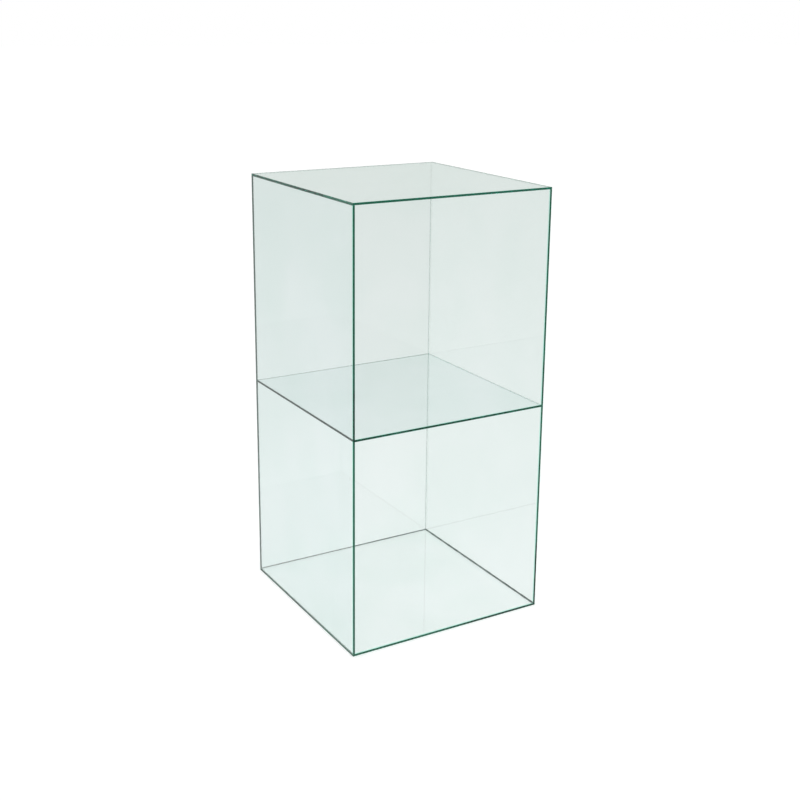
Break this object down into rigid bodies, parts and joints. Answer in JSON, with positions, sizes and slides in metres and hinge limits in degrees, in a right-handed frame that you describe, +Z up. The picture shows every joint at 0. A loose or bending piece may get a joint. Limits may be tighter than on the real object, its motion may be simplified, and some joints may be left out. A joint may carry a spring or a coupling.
{
  "type": "two-tier open display case",
  "caption": "Free-standing two-tier display case of clear green-edged sheet, open at the front, with a fixed middle shelf and cemented edge joints.",
  "frame": {"origin": "centre of the base's underside, on the surface that the case stands on", "axes": "+X across the width, to the right as seen from the open front; -Y towards the open front; +Z up"},
  "size_m": [0.4, 0.4, 0.812],
  "materials": {
    "clear_sheet": "clear cast acrylic sheet with a faint green tint, polished faces and polished dark green edges",
    "cement": "cured clear acrylic cement, a thin glossy line"
  },
  "bodies": {
    "root": {"base_panel": "clear_sheet", "top_panel": "clear_sheet", "left_side_panel": "clear_sheet", "right_side_panel": "clear_sheet", "back_panel": "clear_sheet", "middle_shelf": "clear_sheet", "bond_base_left": "cement", "bond_base_right": "cement", "bond_base_back": "cement", "bond_top_left": "cement", "bond_top_right": "cement", "bond_top_back": "cement", "bond_back_left": "cement", "bond_back_right": "cement", "bond_shelf_left": "cement", "bond_shelf_right": "cement", "bond_shelf_back": "cement"}
  },
  "joints": []
}
